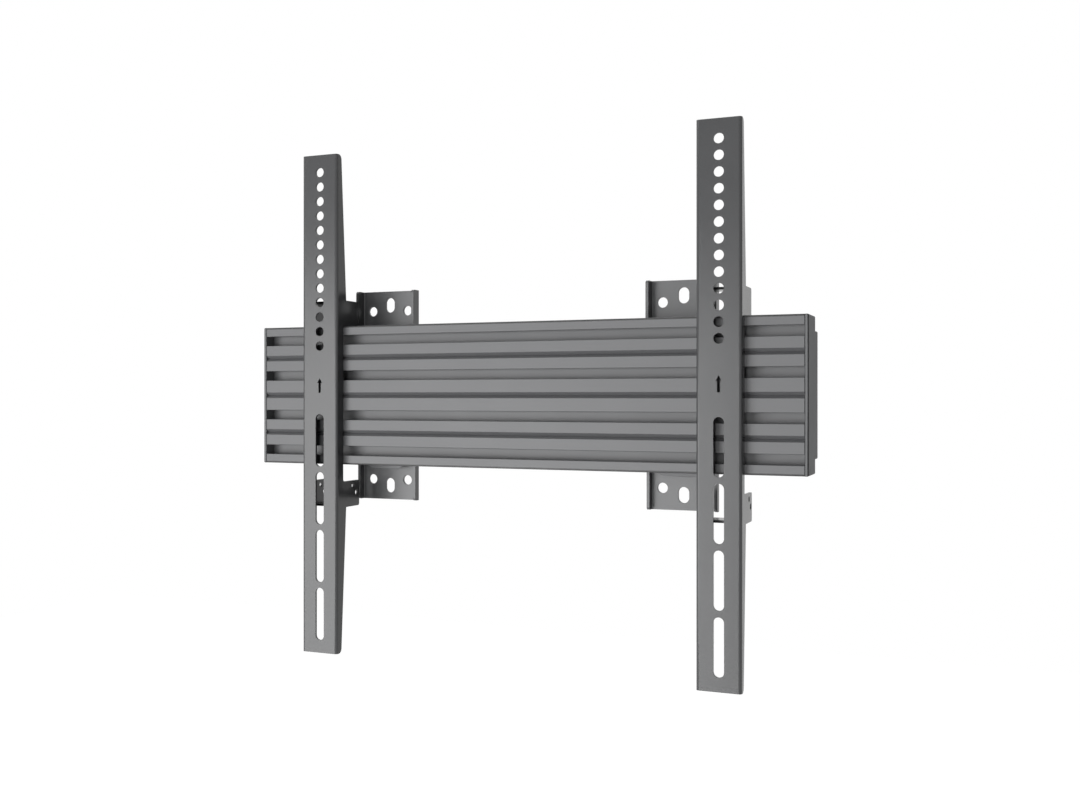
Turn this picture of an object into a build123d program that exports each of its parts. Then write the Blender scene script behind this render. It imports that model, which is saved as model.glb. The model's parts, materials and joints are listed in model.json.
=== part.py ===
from build123d import *
import math
import os

# Fixed wall bracket for a flat display, in millimetres.
# The wall is the plane y = 0 and the front looks towards -Y. x = 0 is the middle
# of the rail and z = 0 is its mid height. The left side is the one with x < 0.

# Rail, an aluminium extrusion that runs from side to side
RAIL_LENGTH = 474.0
RAIL_HEIGHT = 120.0
RAIL_DEPTH = 31.0
RAIL_WALL = 2.0
RAIL_RIB = 1.8
RAIL_CORNER = 1.0
SLOT_MOUTH = 8.2
SLOT_LIP = 2.6
SLOT_CAVITY = 14.0
SLOT_DEPTH = 11.0
SLOT_INNER_HEIGHT = 17.2
SLOT_BELOW_EDGE = 12.0
GROOVE_WIDTH = 4.4
GROOVE_DEPTH = 3.0
TROUGH_WIDTH = 14.5
TROUGH_DEPTH = 12.0

# Two hooked lips on the back of the rail, both with their toes pointing down
LIP_BELOW_EDGE = 11.0
LIP_REACH = 7.7
LIP_WEB = 2.5
TOE_LENGTH = 7.0
TOE_THICKNESS = 2.2

# End caps, moulded in plastic and pushed into the chambers of the rail
CAP_THICKNESS = 3.0
CAP_EDGE = 1.2
CAP_BACK_CLEARANCE = 0.5
PEG_LENGTH = 12.0
PEG_CLEARANCE = 0.15
PEG_HEIGHT = 16.0
PEG_LEAD = 1.0

# Wall plates, folded from steel sheet
PLATE_FROM_END = 102.5
PLATE_WIDTH = 58.0
PLATE_HEIGHT = 185.0
PLATE_SHEET = 2.5
PLATE_BEND = 3.5
PLATE_INNER_BEND = 1.0
FLANGE_UPPER = 12.5
FLANGE_LOWER = 9.2
FLANGE_CORNER = 2.5
FLANGE_ROOT = 4.2
WALL_HOLE = 8.5
WALL_HOLE_PITCH_X = 35.0
WALL_HOLE_FROM_END = 17.5
WALL_SLOT_WIDTH = 9.0
WALL_SLOT_LENGTH = 13.0
WALL_SLOT_FROM_END = 12.25
FINGER_CORNER = 1.0
HOOK_PLAY = 0.4
HOOK_DROP_ROOM = 2.0

# Snap latches, bent from spring strip and riveted to the wall plates
LATCH_SHEET = 1.5
LATCH_WIDTH = 41.0
LATCH_TIP_WIDTH = 27.0
LATCH_FLARE = 3.8
LATCH_CORNER = 3.0
LATCH_BELOW_RAIL = 4.6
LATCH_BASE_LENGTH = 38.0
LATCH_BEND = 0.8
LATCH_GAP = 1.8
LATCH_PLAY = 0.4
LATCH_HEADROOM = 2.0
RIVET_SHANK = 3.2
RIVET_HEAD = 6.0
RIVET_CROWN = 4.4
RIVET_HEAD_HEIGHT = 1.4
RIVET_PITCH = 20.0
RIVET_BELOW_TOP = 10.0
RIVET_HOLE_CLEARANCE = 0.1

# Display arms, folded from steel sheet into a channel open to the back
ARM_FROM_END = 62.0
ARM_WIDTH = 35.0
ARM_HEIGHT = 430.0
ARM_DROP = 7.5
ARM_SHEET = 2.0
ARM_BEND = 2.5
ARM_INNER_BEND = 0.6
ARM_SETBACK = 10.0
ARM_END_DEPTH = 7.0
ARM_SHOULDER_DEPTH = 14.8
ARM_END_CORNER = 4.0
ARM_CORNER = 2.0
HOOK_RISE = 22.4
HOOK_DEPTH = 34.5
HOOK_NOSE_WIDTH = 8.5
HOOK_NOSE_LENGTH = 10.0
TAB_TOP_BELOW_RAIL = 14.8
TAB_HEIGHT = 22.5
TAB_DEPTH = 36.3
TAB_UPPER_HOLE = 4.2
TAB_UPPER_HOLE_INSET = 10.2
TAB_UPPER_HOLE_DROP = 4.6
TAB_LOWER_HOLE = 4.8
TAB_LOWER_HOLE_INSET = 4.2
TAB_LOWER_HOLE_DROP = 10.8

# Display fixing pattern on the face of each arm: round holes, an arrow and long slots
HOLE_PITCH = 12.5
HOLE_DIAMETER = 8.0
END_MARGIN = 15.0
ARM_SLOT_WIDTH = 8.2
ARM_SLOT_TRAVEL = 37.0
ARM_SLOT_PITCH = 50.0
ARM_SLOT_COUNT = 4
ARROW_LENGTH = 12.6
ARROW_HEAD_WIDTH = 4.8
ARROW_HEAD_LENGTH = 4.2
ARROW_SHAFT_WIDTH = 2.3
ARROW_ROOM = 62.5
ARROW_ABOVE_SLOTS = 29.0

# Cross webs, welded between the two flanges of each arm
WEB_SHEET = 2.0
WEB_SETBACK = 1.0

# Places that follow from the sizes above
RAIL_BACK = -FLANGE_UPPER
RAIL_FRONT = RAIL_BACK - RAIL_DEPTH
RAIL_TOP = RAIL_HEIGHT / 2
PLATE_CENTRE = RAIL_LENGTH / 2 - PLATE_FROM_END
ARM_CENTRE = RAIL_LENGTH / 2 - ARM_FROM_END
ARM_FACE = RAIL_FRONT - ARM_SETBACK
ARM_TOP = ARM_HEIGHT / 2 - ARM_DROP
ARM_BOTTOM = ARM_TOP - ARM_HEIGHT
TOP_HOLE = ARM_TOP - END_MARGIN
HOOK_TOP = RAIL_TOP + HOOK_RISE
HOOK_REAR = ARM_FACE + HOOK_DEPTH
TAB_TOP = -RAIL_TOP - TAB_TOP_BELOW_RAIL
TAB_BOTTOM = TAB_TOP - TAB_HEIGHT
TAB_REAR = ARM_FACE + TAB_DEPTH
TROUGH_REAR = RAIL_BACK - RAIL_WALL
TROUGH_FRONT = TROUGH_REAR - TROUGH_WIDTH
TROUGH_FLOOR = RAIL_TOP - TROUGH_DEPTH
SLOT_FLOOR = RAIL_FRONT + SLOT_DEPTH
SLOT_OUTER_HEIGHT = RAIL_TOP - SLOT_BELOW_EDGE
GROOVE_HEIGHT = (SLOT_INNER_HEIGHT + SLOT_OUTER_HEIGHT) / 2
LIP_TOP = RAIL_TOP - LIP_BELOW_EDGE
LATCH_BOTTOM = -RAIL_TOP - LATCH_BELOW_RAIL
UPPER_WEB = LIP_TOP - LIP_WEB
LOWER_WEB = -LIP_TOP + TOE_LENGTH
TOE_REAR = RAIL_BACK + LIP_REACH
TOE_FRONT = TOE_REAR - TOE_THICKNESS
SIDES = {"left": -1, "right": 1}

# Two places closer together than this are the same place
SAME_PLACE = 0.01


def side_face(corners):
    """Face in the side view inside a closed line of (y, z, corner radius)."""
    points = [(y, z) for y, z, radius in corners]
    radii = [radius for y, z, radius in corners]
    return Plane.YZ * make_face(FilletPolyline(*points, radius=radii, close=True).edges())


def side_box(y_low, y_high, z_low, z_high):
    """Rectangle in the side view between two depths and two heights."""
    centre = Pos((y_low + y_high) / 2, (z_low + z_high) / 2)
    return Plane.YZ * (centre * Rectangle(y_high - y_low, z_high - z_low))


def across(face, width):
    """Solid of a side view face, as wide as given and centred on x = 0."""
    return extrude(face, amount=width / 2, both=True)


def front_cut(sketch, y_near, depth):
    """Tool that cuts a front view sketch through a wall behind y_near."""
    placed = Plane((0, y_near, 0), x_dir=(1, 0, 0), z_dir=(0, -1, 0)) * sketch
    return extrude(placed, amount=depth, both=True)


def lip(web_bottom):
    """Hooked lip on the back of the rail, its web standing on web_bottom."""
    web = side_box(RAIL_BACK, TOE_REAR, web_bottom, web_bottom + LIP_WEB)
    toe = side_box(TOE_FRONT, TOE_REAR, web_bottom - TOE_LENGTH, web_bottom)
    return web + toe


def vee(height, scale):
    """Side view of a V groove that opens at the face of the rail, scaled about its mouth."""
    half = scale * GROOVE_WIDTH / 2
    return side_face([
        (RAIL_FRONT, height - half, 0),
        (RAIL_FRONT + scale * GROOVE_DEPTH, height, 0),
        (RAIL_FRONT, height + half, 0),
    ])


def rail_section():
    """Side view of the extrusion: walls, chambers, front slots and back lips."""
    slot_heights = [-SLOT_OUTER_HEIGHT, -SLOT_INNER_HEIGHT, SLOT_INNER_HEIGHT, SLOT_OUTER_HEIGHT]
    groove_heights = [-GROOVE_HEIGHT, 0, GROOVE_HEIGHT]
    half = RAIL_HEIGHT / 2
    outer = side_face([
        (RAIL_FRONT, -half, RAIL_CORNER),
        (RAIL_BACK, -half, RAIL_CORNER),
        (RAIL_BACK, half, RAIL_CORNER),
        (RAIL_FRONT, half, RAIL_CORNER),
    ])
    outside = RAIL_FRONT - RAIL_WALL
    inner_front = RAIL_FRONT + RAIL_WALL
    inner_back = RAIL_BACK - RAIL_WALL
    mouth = SLOT_MOUTH / 2
    chambers = side_box(inner_front, inner_back, -half + RAIL_WALL, half - RAIL_WALL)
    chambers -= side_box(TROUGH_FRONT - RAIL_WALL, inner_back, TROUGH_FLOOR - RAIL_WALL, half)
    openings = side_box(TROUGH_FRONT, TROUGH_REAR, TROUGH_FLOOR, half + RAIL_WALL)
    for height in slot_heights:
        low = height - SLOT_CAVITY / 2
        high = height + SLOT_CAVITY / 2
        chambers -= side_box(inner_front, SLOT_FLOOR + RAIL_WALL, low - RAIL_WALL, high + RAIL_WALL)
        openings += side_box(RAIL_FRONT + SLOT_LIP, SLOT_FLOOR, low, high)
        openings += side_box(outside, SLOT_FLOOR, height - mouth, height + mouth)
    flank = GROOVE_WIDTH / 2 * GROOVE_DEPTH / math.hypot(GROOVE_WIDTH / 2, GROOVE_DEPTH)
    for height in groove_heights:
        chambers -= vee(height, 1 + RAIL_WALL / flank)
        chambers -= side_box(inner_front, inner_back, height - RAIL_RIB / 2, height + RAIL_RIB / 2)
        openings += vee(height, 1)
    return outer + lip(UPPER_WEB) + lip(LOWER_WEB) - chambers - openings


def build_rail():
    """The rail, cut to length from its extrusion."""
    return across(rail_section(), RAIL_LENGTH)


def cap_outline():
    """Side view of an end cap: the rail's outline, and a block that hides the lips behind it."""
    body = side_box(RAIL_FRONT, RAIL_BACK, -RAIL_TOP, RAIL_TOP)
    block = side_box(RAIL_BACK, -CAP_BACK_CLEARANCE, -LIP_TOP, LIP_TOP)
    return body + block


def cap_pegs():
    """Four blunt pegs, one in each chamber behind the front slots."""
    chamber_front = SLOT_FLOOR + RAIL_WALL
    chamber_back = RAIL_BACK - RAIL_WALL
    depth = chamber_back - chamber_front - 2 * PEG_CLEARANCE
    middle = (chamber_front + chamber_back) / 2
    rib = RAIL_RIB / 2
    chambers = [
        (-RAIL_TOP + RAIL_WALL, -GROOVE_HEIGHT - rib),
        (-GROOVE_HEIGHT + rib, -rib),
        (rib, GROOVE_HEIGHT - rib),
        (GROOVE_HEIGHT + rib, TROUGH_FLOOR - RAIL_WALL),
    ]
    pegs = []
    for low, high in chambers:
        height = min(PEG_HEIGHT, high - low - 2 * PEG_CLEARANCE)
        section = Plane.YZ * (Pos(middle, (low + high) / 2) * Rectangle(depth, height))
        peg = extrude(section, amount=-PEG_LENGTH)
        pegs.append(chamfer(peg.faces().sort_by(Axis.X)[0].edges(), PEG_LEAD))
    return pegs


def build_end_cap(side):
    """End cap with its outer edge rounded, its pegs pointing into the rail."""
    plate = extrude(cap_outline(), amount=CAP_THICKNESS)
    plate = fillet(plate.faces().sort_by(Axis.X)[-1].edges(), CAP_EDGE)
    cap = plate
    for peg in cap_pegs():
        cap += peg
    cap = Pos(RAIL_LENGTH / 2, 0, 0) * cap
    return cap if side > 0 else mirror(cap, about=Plane.YZ)


def plate_side():
    """Side view of a wall plate: its back wall, its flanges and their hook notches."""
    half = PLATE_HEIGHT / 2
    toe_bottom = UPPER_WEB - TOE_LENGTH
    lift = LIP_TOP + TOE_LENGTH + HOOK_DROP_ROOM
    swing_top = LOWER_WEB + LIP_WEB + HOOK_DROP_ROOM
    swing_bottom = -LIP_TOP - HOOK_DROP_ROOM - LATCH_SHEET
    return side_face([
        (0, -half, 0),
        (0, half, 0),
        (-FLANGE_UPPER, half, FLANGE_CORNER),
        (-FLANGE_UPPER, lift, 0),
        (-FLANGE_ROOT, lift, 0),
        (-FLANGE_ROOT, toe_bottom - HOOK_DROP_ROOM, 0),
        (TOE_FRONT - HOOK_PLAY, toe_bottom - HOOK_DROP_ROOM, 0),
        (TOE_FRONT - HOOK_PLAY, UPPER_WEB, 0),
        (-FLANGE_UPPER, UPPER_WEB, FINGER_CORNER),
        (-FLANGE_UPPER, 0, 0),
        (-FLANGE_LOWER, 0, 0),
        (-FLANGE_LOWER, swing_top, 0),
        (-FLANGE_ROOT, swing_top, 0),
        (-FLANGE_ROOT, swing_bottom, 0),
        (-FLANGE_LOWER, swing_bottom, 0),
        (-FLANGE_LOWER, -half, FLANGE_CORNER),
    ])


def wall_openings():
    """Front view of the screw holes, screw slots and rivet holes of a wall plate."""
    hole_pitch = PLATE_HEIGHT - 2 * WALL_HOLE_FROM_END
    slot_pitch = PLATE_HEIGHT - 2 * WALL_SLOT_FROM_END
    holes = GridLocations(WALL_HOLE_PITCH_X, hole_pitch, 2, 2) * Circle(WALL_HOLE / 2)
    slot = SlotOverall(WALL_SLOT_LENGTH, WALL_SLOT_WIDTH, rotation=90)
    slots = GridLocations(0, slot_pitch, 1, 2) * slot
    rivets = GridLocations(RIVET_PITCH, 0, 2, 1) * Circle(RIVET_SHANK / 2 + RIVET_HOLE_CLEARANCE)
    return Sketch() + holes + slots + Pos(0, rivet_height()) * (Sketch() + rivets)


def upright_edges(part, x_size, y):
    """Edges that stand upright on both sides of the part, at one depth."""
    def on_line(edge):
        centre = edge.center()
        return abs(abs(centre.X) - x_size) < SAME_PLACE and abs(centre.Y - y) < SAME_PLACE
    return part.edges().filter_by(Axis.Z).filter_by(on_line)


def build_wall_plate(side):
    """Wall plate: a sheet with both long edges folded forwards."""
    inner_half = PLATE_WIDTH / 2 - PLATE_SHEET
    plate = across(plate_side(), PLATE_WIDTH)
    room = side_box(-FLANGE_UPPER - PLATE_SHEET, -PLATE_SHEET, -PLATE_HEIGHT, PLATE_HEIGHT)
    plate -= across(room, 2 * inner_half)
    plate = fillet(upright_edges(plate, PLATE_WIDTH / 2, 0), PLATE_BEND)
    plate = fillet(upright_edges(plate, inner_half, -PLATE_SHEET), PLATE_INNER_BEND)
    plate -= front_cut(wall_openings(), 0, 2 * PLATE_SHEET)
    return Pos(side * PLATE_CENTRE, 0, 0) * plate


def latch_base_top():
    """Height of the upper end of a latch, above the lower lip of the rail."""
    return LOWER_WEB + LATCH_BASE_LENGTH


def rivet_height():
    """Height of the rivets that hold a latch to its wall plate."""
    return latch_base_top() - RIVET_BELOW_TOP


def build_latch(side):
    """Spring strip that runs behind and under the rail's lower toe, and hangs out below."""
    half = LATCH_SHEET / 2
    base = -PLATE_SHEET - half
    under = -LIP_TOP - LATCH_PLAY - half
    finger = TOE_FRONT - LATCH_PLAY - half
    crown = LOWER_WEB - LATCH_HEADROOM - half
    front = finger - LATCH_SHEET - LATCH_GAP
    bend = LATCH_BEND + half
    line = FilletPolyline(
        (base, latch_base_top()),
        (base, under),
        (finger, under),
        (finger, crown),
        (front, crown),
        (front, LATCH_BOTTOM),
        radius=bend,
    )
    latch = across(Plane.YZ * trace(line, LATCH_SHEET), LATCH_WIDTH)
    shape = make_face(FilletPolyline(
        (-LATCH_WIDTH / 2, latch_base_top()),
        (-LATCH_WIDTH / 2, LATCH_BOTTOM + LATCH_FLARE),
        (-LATCH_TIP_WIDTH / 2, LATCH_BOTTOM),
        (LATCH_TIP_WIDTH / 2, LATCH_BOTTOM),
        (LATCH_WIDTH / 2, LATCH_BOTTOM + LATCH_FLARE),
        (LATCH_WIDTH / 2, latch_base_top()),
        radius=LATCH_CORNER,
        close=True,
    ).edges())
    latch &= front_cut(shape, 0, RAIL_DEPTH)
    holes = GridLocations(RIVET_PITCH, 0, 2, 1) * Circle(RIVET_SHANK / 2 + RIVET_HOLE_CLEARANCE)
    latch -= front_cut(Pos(0, rivet_height()) * (Sketch() + holes), 0, FLANGE_UPPER)
    return Pos(side * PLATE_CENTRE, 0, 0) * latch


def build_rivet(side, place):
    """Rivet with a conical head through a latch and its wall plate, flush with the wall."""
    seat = PLATE_SHEET + LATCH_SHEET
    shank = Pos(0, 0, seat / 2) * Cylinder(RIVET_SHANK / 2, seat)
    head = Cone(RIVET_HEAD / 2, RIVET_CROWN / 2, RIVET_HEAD_HEIGHT)
    head = Pos(0, 0, seat + RIVET_HEAD_HEIGHT / 2) * head
    x = side * PLATE_CENTRE + place * RIVET_PITCH / 2
    return Plane((x, 0, rivet_height()), x_dir=(1, 0, 0), z_dir=(0, -1, 0)) * (shank + head)


def arm_side():
    """Side view of a display arm: tapered channel, hook above and tab below the rail."""
    nose_front = HOOK_REAR - HOOK_NOSE_WIDTH
    nose_bottom = RAIL_TOP - HOOK_NOSE_LENGTH
    shoulder = ARM_FACE + ARM_SHOULDER_DEPTH
    end = ARM_FACE + ARM_END_DEPTH
    return side_face([
        (ARM_FACE, ARM_TOP, 0),
        (end, ARM_TOP, ARM_END_CORNER),
        (shoulder, HOOK_TOP, 0),
        (HOOK_REAR, HOOK_TOP, ARM_CORNER),
        (HOOK_REAR, nose_bottom, ARM_CORNER),
        (nose_front, nose_bottom, ARM_CORNER),
        (nose_front, RAIL_TOP, 0),
        (RAIL_FRONT, RAIL_TOP, 0),
        (RAIL_FRONT, TAB_TOP, ARM_CORNER),
        (TAB_REAR, TAB_TOP, ARM_CORNER),
        (TAB_REAR, TAB_BOTTOM, ARM_CORNER),
        (shoulder, TAB_BOTTOM, 0),
        (end, ARM_BOTTOM, ARM_END_CORNER),
        (ARM_FACE, ARM_BOTTOM, 0),
    ])


def arrow():
    """Arrow cut in an arm to show which end goes up, centred on the origin."""
    tip = ARROW_LENGTH / 2
    neck = tip - ARROW_HEAD_LENGTH
    head = ARROW_HEAD_WIDTH / 2
    shaft = ARROW_SHAFT_WIDTH / 2
    return make_face(Polyline(
        (0, tip), (head, neck), (shaft, neck), (shaft, -tip),
        (-shaft, -tip), (-shaft, neck), (-head, neck), (0, tip),
    ).edges())


def arm_openings():
    """Front view of the holes, slots and arrow in the face of an arm."""
    openings = Sketch()
    slot = SlotCenterToCenter(ARM_SLOT_TRAVEL, ARM_SLOT_WIDTH, rotation=90)
    lowest = ARM_BOTTOM + END_MARGIN + ARM_SLOT_TRAVEL / 2
    for index in range(ARM_SLOT_COUNT):
        openings += Pos(0, lowest + index * ARM_SLOT_PITCH) * slot
    slots_end = lowest + (ARM_SLOT_COUNT - 1) * ARM_SLOT_PITCH + ARM_SLOT_TRAVEL / 2
    openings += Pos(0, slots_end + ARROW_ABOVE_SLOTS) * arrow()
    hole_count = 1 + round((TOP_HOLE - slots_end - ARROW_ROOM) / HOLE_PITCH)
    for index in range(hole_count):
        openings += Pos(0, TOP_HOLE - index * HOLE_PITCH) * Circle(HOLE_DIAMETER / 2)
    return openings


def tab_hole_cutter():
    """Pins that cut the two small holes through both lower tabs of an arm."""
    upper = Pos(TAB_REAR - TAB_UPPER_HOLE_INSET, TAB_TOP - TAB_UPPER_HOLE_DROP)
    lower = Pos(TAB_REAR - TAB_LOWER_HOLE_INSET, TAB_TOP - TAB_LOWER_HOLE_DROP)
    discs = Sketch() + [upper * Circle(TAB_UPPER_HOLE / 2), lower * Circle(TAB_LOWER_HOLE / 2)]
    return across(Plane.YZ * discs, 2 * ARM_WIDTH)


def build_arm(side):
    """Display arm with its fixing pattern, folded along both long edges."""
    inner_half = ARM_WIDTH / 2 - ARM_SHEET
    inner_face = ARM_FACE + ARM_SHEET
    arm = across(arm_side(), ARM_WIDTH)
    room = side_box(inner_face, TAB_REAR + ARM_SHEET, -ARM_HEIGHT, ARM_HEIGHT)
    arm -= across(room, 2 * inner_half)
    arm = fillet(upright_edges(arm, ARM_WIDTH / 2, ARM_FACE), ARM_BEND)
    arm = fillet(upright_edges(arm, inner_half, inner_face), ARM_INNER_BEND)
    arm -= front_cut(arm_openings(), ARM_FACE, 2 * ARM_SHEET)
    arm -= tab_hole_cutter()
    return Pos(side * ARM_CENTRE, 0, 0) * arm


def build_web(side, z_low, rear):
    """Cross web that ties the two flanges of an arm, flush with the end of a tab."""
    width = ARM_WIDTH - 2 * ARM_SHEET
    front = ARM_FACE + ARM_SHOULDER_DEPTH
    web = across(side_box(front, rear - WEB_SETBACK, z_low, z_low + WEB_SHEET), width)
    return Pos(side * ARM_CENTRE, 0, 0) * web


def build_parts():
    """Every separate piece of the bracket, by name."""
    parts = {"rail_profile": build_rail()}
    for name, side in SIDES.items():
        parts["end_cap_" + name] = build_end_cap(side)
        parts["wall_plate_" + name] = build_wall_plate(side)
        parts["snap_latch_" + name] = build_latch(side)
        parts["latch_rivet_" + name + "_outer"] = build_rivet(side, side)
        parts["latch_rivet_" + name + "_inner"] = build_rivet(side, -side)
        parts["display_arm_" + name] = build_arm(side)
        parts["hook_web_" + name] = build_web(side, HOOK_TOP - WEB_SHEET, HOOK_REAR)
        parts["tab_web_" + name] = build_web(side, TAB_BOTTOM, TAB_REAR)
    return parts


os.makedirs("parts", exist_ok=True)
for part_name, part in build_parts().items():
    export_step(part, os.path.join("parts", part_name + ".step"))
    size = part.bounding_box().size
    print(part_name, round(size.X, 1), round(size.Y, 1), round(size.Z, 1), round(part.volume))
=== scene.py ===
# %% [markdown]
# # A fixed wall bracket for a flat display
#
# This notebook dresses a finished CAD model: a slotted aluminium rail on two folded wall
# plates, with two pierced arms hooked over it. The solids come in as they are, and the
# steps below give them their edges, their coats and a plain studio to hang in. Lengths are
# in metres, and colours are in linear light.

# %% Load the bracket
import json
import math

import bpy
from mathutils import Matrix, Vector


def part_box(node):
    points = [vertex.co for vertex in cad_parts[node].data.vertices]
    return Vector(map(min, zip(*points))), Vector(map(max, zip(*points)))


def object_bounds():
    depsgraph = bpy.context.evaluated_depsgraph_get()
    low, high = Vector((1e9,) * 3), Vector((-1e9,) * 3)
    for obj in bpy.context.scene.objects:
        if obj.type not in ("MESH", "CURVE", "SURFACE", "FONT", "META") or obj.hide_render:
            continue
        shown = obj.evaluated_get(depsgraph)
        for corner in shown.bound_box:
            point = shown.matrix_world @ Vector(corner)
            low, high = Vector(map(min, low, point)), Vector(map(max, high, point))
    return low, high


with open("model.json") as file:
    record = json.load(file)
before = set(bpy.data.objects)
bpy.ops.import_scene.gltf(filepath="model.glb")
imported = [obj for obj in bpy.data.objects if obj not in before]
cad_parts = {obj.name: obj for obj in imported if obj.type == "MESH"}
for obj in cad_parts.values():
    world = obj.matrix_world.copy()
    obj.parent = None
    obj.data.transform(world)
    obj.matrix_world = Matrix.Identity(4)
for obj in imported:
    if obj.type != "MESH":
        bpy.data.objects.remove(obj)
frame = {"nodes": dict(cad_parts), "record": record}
nodes = frame["nodes"]
cad_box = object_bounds()
print("pieces:", len(nodes))
print("box in metres:", [[round(v, 4) for v in corner] for corner in cad_box])

# %% [markdown]
# ## Edges
#
# Every real edge is slightly round: cut sheet metal has its burrs taken off, and a coat pulls
# back from a corner. The round could be modelled in the solids or faked in the shader. Here it
# is a Bevel modifier, which gives real faces that take a coat of their own, a painted shade
# that draws each edge as a thin dark line. Weld first joins the loose triangles of the import
# and Decimate joins flat neighbours, so that only true corners are rounded.

# %% The round of each kind of piece
EDGE_ROUNDS = {
    "rail_profile": 0.0003,
    "end_cap": 0.0004,
    "wall_plate": 0.0006,
    "display_arm": 0.0006,
    "hook_web": 0.0003,
    "tab_web": 0.0003,
    "snap_latch": 0.0003,
    "latch_rivet": 0.0002,
}


def kind_of(name):
    """The kind of piece that a node is, from the start of its name."""
    return next(kind for kind in EDGE_ROUNDS if name.startswith(kind))


print("kinds of piece:", sorted({kind_of(name) for name in nodes}))

# %% Round the edges of each piece
WELD_DISTANCE = 0.00001
FLAT_ANGLE = math.radians(1.0)
CORNER_ANGLE = math.radians(40.0)
ROUND_SEGMENTS = 2
# The faces of a round take the second material of their piece, a coat of painted shade
EDGE_SLOT = 1


def round_edges(piece, width):
    """Adds the modifiers that turn the sharp corners of a piece into small rounds."""
    weld = piece.modifiers.new("join triangles", "WELD")
    weld.merge_threshold = WELD_DISTANCE
    flat = piece.modifiers.new("join flat faces", "DECIMATE")
    flat.decimate_type = "DISSOLVE"
    flat.angle_limit = FLAT_ANGLE
    bevel = piece.modifiers.new("edge round", "BEVEL")
    bevel.width = width
    bevel.segments = ROUND_SEGMENTS
    bevel.limit_method = "ANGLE"
    bevel.angle_limit = CORNER_ANGLE
    bevel.harden_normals = True
    bevel.material = EDGE_SLOT


for name, piece in nodes.items():
    round_edges(piece, EDGE_ROUNDS[kind_of(name)])
print("edge rounds on", len(nodes), "pieces")

# %% [markdown]
# ## Shader maths
#
# A powder coat is a fine, slightly uneven skin. Its nodes are easier to read as sums than as
# a web of boxes, so one small class wraps a socket and lets ordinary operators add the Math
# nodes. Every node, of any kind, comes from its one method, add.

# %% A small class for sockets
class Socket:
    """An output of a node, which can be used in ordinary arithmetic."""

    def __init__(self, tree, output):
        self.tree = tree
        self.output = output

    @classmethod
    def add(cls, tree, kind, settings=None, inputs=None, output=0):
        """Adds a node: its settings first, then a value or a link for each of its sockets."""
        node = tree.nodes.new(kind)
        for key, value in (settings or {}).items():
            setattr(node, key, value)
        for key, value in (inputs or {}).items():
            if isinstance(value, Socket):
                tree.links.new(value.output, node.inputs[key])
            else:
                node.inputs[key].default_value = value
        return cls(tree, node.outputs[output]) if node.outputs else None

    def math(self, operation, *values):
        """Adds a Math node that works on one value or two."""
        inputs = dict(enumerate(values))
        return Socket.add(self.tree, "ShaderNodeMath", {"operation": operation}, inputs)

    def most(self, other):
        """The greater of this value and another."""
        return self.math("MAXIMUM", self, other)

    def size(self):
        """The value without its sign."""
        return self.math("ABSOLUTE", self)

    def above(self, limit):
        """1 where the value is over a limit, and else 0."""
        return self.math("GREATER_THAN", self, limit)

    def __add__(self, other):
        return self.math("ADD", self, other)

    def __radd__(self, other):
        return self.math("ADD", other, self)

    def __sub__(self, other):
        return self.math("SUBTRACT", self, other)

    def __rsub__(self, other):
        return self.math("SUBTRACT", other, self)

    def __mul__(self, other):
        return self.math("MULTIPLY", self, other)

    def __rmul__(self, other):
        return self.math("MULTIPLY", other, self)


# %% Helpers for trees, noise, colours and axes
def empty_tree(owner):
    """The node tree of a material or a world, with nothing in it."""
    owner.use_nodes = True
    owner.node_tree.nodes.clear()
    return owner.node_tree


def noise(place, scale, detail):
    """Noise around 0.5 with features about 1 / scale metres across."""
    inputs = {"Vector": place, "Scale": scale, "Detail": detail}
    return Socket.add(place.tree, "ShaderNodeTexNoise", None, inputs)


def mix_colours(factor, first, second):
    """The first colour where the factor is 0, and the second where it is 1."""
    # The Mix node keeps its colour sockets in places 6 and 7, and its colour comes out of 2
    inputs = {0: factor, 6: first, 7: second}
    return Socket.add(factor.tree, "ShaderNodeMix", {"data_type": "RGBA"}, inputs, 2)


def axis_size(vector, axis):
    """The X, Y or Z of a vector, without its sign."""
    return Socket.add(vector.tree, "ShaderNodeSeparateXYZ", None, {0: vector}, axis).size()


# %% [markdown]
# ## Painted shade on the edges
#
# The edges of the bracket show as thin dark lines, where a round turns away from the light
# and reflects dark surroundings. Here that is painted shade: the rounds of the Bevel modifier
# have a dark coat, and those of the rail a paler one, as its grooves have many edges close
# together. The rim of the rail and the rounds of the caps are already in the solids, where no
# modifier marks them. They could be painted by hand, but here the painted shade finds them by
# itself, from the place on the piece and from the way that the surface faces.

# %% Find where the rim of the rail and the rounds of the caps take painted shade
# Painted shade for the edges: a dark colour, and a paler one for the rail's many close edges
PAINTED_EDGE_SHADE = (0.018, 0.0183, 0.0192)
RAIL_PAINTED_EDGE_SHADE = (0.075, 0.0762, 0.0787)
# The painted shade on the rim of the rail is this wide, down from its top and up from its bottom
RIM_WIDTH = 0.0016
# A surface whose normal has less than this along Y looks up, down or along the rail
RIM_FACING = 0.2
# A surface whose normal has more than this along one axis is flat and square to it
SQUARE_TO_AXIS = 0.97

rim_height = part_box("rail_profile")[1].z - RIM_WIDTH


def rail_rim_painted_shade(tree):
    """1 for painted shade on the top and bottom rim of the rail where it faces front or back,
    else 0.
    """
    place = Socket.add(tree, "ShaderNodeTexCoord", output="Object")
    normal = Socket.add(tree, "ShaderNodeTexCoord", output="Normal")
    return axis_size(place, "Z").above(rim_height) * axis_size(normal, "Y").above(RIM_FACING)


def cap_rounds_painted_shade(tree):
    """1 for painted shade on the rounded edges of a cap, which are square to no axis, else 0."""
    normal = Socket.add(tree, "ShaderNodeTexCoord", output="Normal")
    most = axis_size(normal, "X").most(axis_size(normal, "Y")).most(axis_size(normal, "Z"))
    return 1.0 - most.above(SQUARE_TO_AXIS)


print("the rim starts", round(rim_height, 4), "above and below the middle of the rail")

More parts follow.
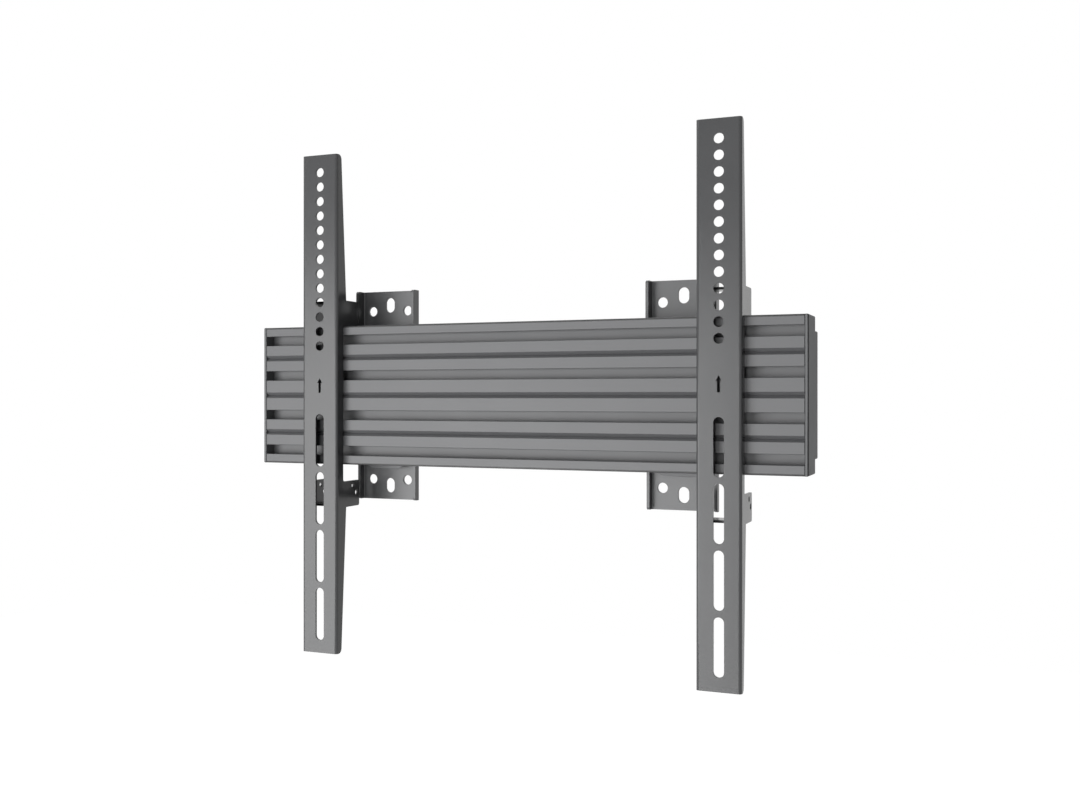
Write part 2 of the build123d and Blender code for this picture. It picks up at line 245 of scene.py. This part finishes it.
# %% [markdown]
# ## Coats
#
# The arms and plates have a satin powder coat in dark grey: a very fine orange peel, a faint
# cloudiness in the gloss, and nothing else. The rail is drawn through a die, so under its
# coat it has faint lines that run along it. The end caps are moulded plastic with a
# spark-eroded grain. A picture of each finish could be wrapped on, but a pattern worked out
# from the place on the piece has no seams and stays sharp from close by. One function builds
# them all, and each coat says how coarse and how deep its grain is.

# %% A function for coats
GRAIN_STRENGTH = 0.25
GRAIN_DETAIL = 2.0
CLOUDS_PER_METRE = 35.0
CLOUD_DETAIL = 3.0
# The most that the roughness changes from the dullest cloud to the glossiest
CLOUD_GLOSS = 0.08


def coat(name, colour, roughness, grain, depth, cloud,
         metallic=0.0, specular=0.5, stretch=None, shade=None):
    """A satin coat: fine grain in the bump, faint clouds in the gloss and the colour.

    The grain is counted per metre and its depth is in metres. The clouds make the colour
    darker and lighter by the share that cloud gives. Where the function shade gives 1, the
    coat takes the painted shade of the edges.
    """
    material = bpy.data.materials.new(name)
    tree = empty_tree(material)
    place = Socket.add(tree, "ShaderNodeTexCoord", output="Object")
    clouds = noise(place, CLOUDS_PER_METRE, CLOUD_DETAIL)
    if stretch:
        place = Socket.add(tree, "ShaderNodeMapping", None, {"Vector": place, "Scale": stretch})
    fine = noise(place, grain, GRAIN_DETAIL)
    dark = [channel * (1 - cloud) for channel in colour] + [1.0]
    light = [channel * (1 + cloud) for channel in colour] + [1.0]
    tint = mix_colours(clouds, dark, light)
    # Painted shade: the dark edge colour replaces the coat where the function shade gives 1
    if shade:
        tint = mix_colours(shade(tree), tint, PAINTED_EDGE_SHADE + (1.0,))
    bump = Socket.add(tree, "ShaderNodeBump", None,
                      {"Strength": GRAIN_STRENGTH, "Distance": depth, "Height": fine}, "Normal")
    shader = Socket.add(tree, "ShaderNodeBsdfPrincipled", None, {
        "Base Color": tint,
        "Roughness": (clouds - 0.5) * CLOUD_GLOSS + roughness,
        "Normal": bump,
        "Metallic": metallic,
        "Specular IOR Level": specular,
    })
    Socket.add(tree, "ShaderNodeOutputMaterial", None, {"Surface": shader})
    return material


# %% Build the coats
# The pattern of the rail is drawn out fifty times along its length, as lines from a die are
LINE_STRETCH = (0.02, 1.0, 1.0)

COATS = {
    "arm": coat("dark grey powder coat", (0.063, 0.0641, 0.0666), roughness=0.23,
                grain=2600.0, depth=0.00006, cloud=0.04, specular=0.42),
    "plate": coat("grey powder coat", (0.09, 0.0916, 0.0949), roughness=0.34,
                  grain=2600.0, depth=0.00006, cloud=0.04, specular=0.52),
    "rail": coat("grey coated aluminium", (0.119, 0.1207, 0.1251), roughness=0.42,
                 grain=3200.0, depth=0.00003, cloud=0.03, specular=0.5,
                 stretch=LINE_STRETCH, shade=rail_rim_painted_shade),
    "cap": coat("grained moulded plastic", (0.155, 0.1576, 0.1615), roughness=0.6,
                grain=1800.0, depth=0.0001, cloud=0.02, specular=0.38, shade=cap_rounds_painted_shade),
    "latch": coat("coated spring steel", (0.12, 0.1212, 0.126), roughness=0.4,
                  grain=2600.0, depth=0.00004, cloud=0.04, specular=0.38),
    "rivet": coat("zinc plated rivet", (0.5, 0.5, 0.49), roughness=0.38,
                  grain=4000.0, depth=0.00003, cloud=0.08, metallic=1.0),
}
# The rounds of every piece take these coats, which paint shade on them: dark, and paler on the
# rail
painted_shade_coat = coat("painted edge shade", PAINTED_EDGE_SHADE, roughness=0.6,
                 grain=2600.0, depth=0.00004, cloud=0.04, specular=0.15)
rail_painted_shade_coat = coat("painted edge shade of the rail", RAIL_PAINTED_EDGE_SHADE, roughness=0.5,
                      grain=3200.0, depth=0.00003, cloud=0.03, specular=0.3)
print("coats:", sorted(COATS))

# %% Put the coats on
slots = {part["node"]: part["material_slot"] for part in frame["record"]["subparts"]}
for name, piece in nodes.items():
    piece.data.materials.clear()
    piece.data.materials.append(COATS[slots[name]])
    # The second material is the painted shade on the rounds
    piece.data.materials.append(rail_painted_shade_coat if slots[name] == "rail" else painted_shade_coat)
print("coats on", len(nodes), "pieces")

# %% [markdown]
# ## Studio
#
# The bracket is shown hanging in plain white, as it hangs on its wall. In a photo studio the
# white would be a paper sweep with lamps of its own. It would throw that light back on the
# object, and a dark coat would turn pale. Here a floor and the air around it look white to the
# camera and in reflections. To all other rays the floor is plain matt and the air gives no
# more than a faint fill. The glow of the floor is so near to white that no shadow shows on it.

# %% Which rays see white
WHITE = (1.0, 1.0, 1.0, 1.0)


def seen_rays(tree):
    """1 for what the camera sees, straight, in a reflection or through glass, and else 0."""
    seen = [Socket.add(tree, "ShaderNodeLightPath", output=kind)
            for kind in ("Is Camera Ray", "Is Glossy Ray", "Is Transmission Ray")]
    return seen[0] + seen[1] + seen[2]


# %% Floor
# The key light reaches a metre below the bracket, so the floor lies lower than that
FLOOR_GAP = 1.3
FLOOR_SIZE = 12.0
FLOOR_COLOUR = (0.8, 0.8, 0.8, 1.0)
# With the light that falls on the floor this comes to about white, which hides its far edge
FLOOR_GLOW = 0.985

bpy.ops.object.select_all(action="DESELECT")
bpy.ops.mesh.primitive_plane_add(size=FLOOR_SIZE, location=(0, 0, cad_box[0][2] - FLOOR_GAP))
floor = bpy.context.active_object
floor.name = "studio_floor"
floor_material = bpy.data.materials.new("pale studio floor")
tree = empty_tree(floor_material)
matt = Socket.add(tree, "ShaderNodeBsdfDiffuse", None, {"Color": FLOOR_COLOUR})
glow = Socket.add(tree, "ShaderNodeEmission", None, {"Color": WHITE, "Strength": FLOOR_GLOW})
both = Socket.add(tree, "ShaderNodeAddShader", None, {0: matt, 1: glow})
ground = Socket.add(tree, "ShaderNodeMixShader", None, {0: seen_rays(tree), 1: matt, 2: both})
Socket.add(tree, "ShaderNodeOutputMaterial", None, {"Surface": ground})
floor.data.materials.append(floor_material)
print("floor at", round(floor.location.z, 3))

# %% Air
FILL_STRENGTH = 0.03
# A strength of 1 renders as white
SEEN_STRENGTH = 1.0

world = bpy.data.worlds.new("studio air")
bpy.context.scene.world = world
tree = empty_tree(world)
fill = Socket.add(tree, "ShaderNodeBackground", None, {"Color": WHITE, "Strength": FILL_STRENGTH})
seen = Socket.add(tree, "ShaderNodeBackground", None, {"Color": WHITE, "Strength": SEEN_STRENGTH})
air = Socket.add(tree, "ShaderNodeMixShader", None, {0: seen_rays(tree), 1: fill, 2: seen})
Socket.add(tree, "ShaderNodeOutputWorld", None, {"Surface": air})
print("fill from the air:", FILL_STRENGTH)

# %% [markdown]
# ## Light
#
# Four soft boxes light the bracket, each a plain rectangle of light that faces its middle. A
# soft box could be a glowing plane. An area lamp does the same with no mesh to keep apart
# from the bracket's. Its power is worked out from how bright it looks, so that its size can
# change without its brightness.
#
# The key stands at the front left, a little below level. It is low, so that it shines
# straight into the slots of the rail and their floors are nearly as light as its face, and
# its top edge is what fades out along the upper half of each arm. The strip is a narrow
# light a little to the right, and draws the thin bright line down the fold of each arm. Two
# weaker ones give form where these don't reach: the top box on the upward walls of the
# grooves, and the rear box on the back of the plates and the rail.

# %% A soft box
LAMP_DISTANCE = 2.2

middle = (Vector(cad_box[0]) + Vector(cad_box[1])) / 2


def soft_box(name, radiance, azimuth, elevation, width, height):
    """A rectangle of light that faces the bracket.

    Its angles are in degrees from straight in front, to the right and up.
    """
    turn = math.radians(azimuth)
    rise = math.radians(elevation)
    level = math.cos(rise)
    aim = Vector((math.sin(turn) * level, -math.cos(turn) * level, math.sin(rise)))
    lamp = bpy.data.lights.new(name, "AREA")
    lamp.shape = "RECTANGLE"
    lamp.size = width
    lamp.size_y = height
    lamp.energy = radiance * math.pi * width * height
    box = bpy.data.objects.new(name, lamp)
    box.location = middle + aim * LAMP_DISTANCE
    box.rotation_euler = aim.to_track_quat("Z", "Y").to_euler()
    bpy.context.scene.collection.objects.link(box)
    print(name, "at", [round(v, 2) for v in box.location], "watts", round(lamp.energy, 1))


# %% The four lamps
soft_box("key", radiance=5.5, azimuth=-26.5, elevation=-12.0, width=1.5, height=1.6)
soft_box("strip", radiance=6.0, azimuth=8.0, elevation=-2.0, width=0.35, height=1.7)
soft_box("rear", radiance=1.7, azimuth=200.0, elevation=55.0, width=1.6, height=1.6)
soft_box("top", radiance=2.0, azimuth=-45.0, elevation=60.0, width=1.2, height=1.2)

# %% [markdown]
# ## Camera
#
# The camera stands to the right, level with the rail, and looks at it about 22 degrees from
# square on. Tilting it down would make the upright arms lean together. A small shift down
# frames the bracket instead and keeps them upright, as an architect's lens does. Its place,
# turn, lens and horizon were fitted to the photograph, in an image of 1080 by 810 pixels.

# %% Camera
CAMERA_PLACE = (0.3749, -0.8957, -0.0006)
CAMERA_TURN = math.radians(22.23)
LEVEL_VIEW = math.radians(90.0)
SENSOR_WIDTH = 36.0
FOCAL_PIXELS = 1143.1
IMAGE_WIDTH = 1080
IMAGE_HEIGHT = 810
HORIZON_PIXEL = 395.93

camera_data = bpy.data.cameras.new("camera")
camera_data.sensor_width = SENSOR_WIDTH
camera_data.lens = FOCAL_PIXELS / IMAGE_WIDTH * SENSOR_WIDTH
camera_data.shift_y = (HORIZON_PIXEL - IMAGE_HEIGHT / 2) / IMAGE_WIDTH
camera = bpy.data.objects.new("camera", camera_data)
camera.location = CAMERA_PLACE
camera.rotation_euler = (LEVEL_VIEW, 0.0, CAMERA_TURN)
bpy.context.scene.collection.objects.link(camera)
bpy.context.scene.camera = camera
bpy.context.scene.view_settings.view_transform = "Standard"
print("lens in millimetres:", round(camera_data.lens, 2))
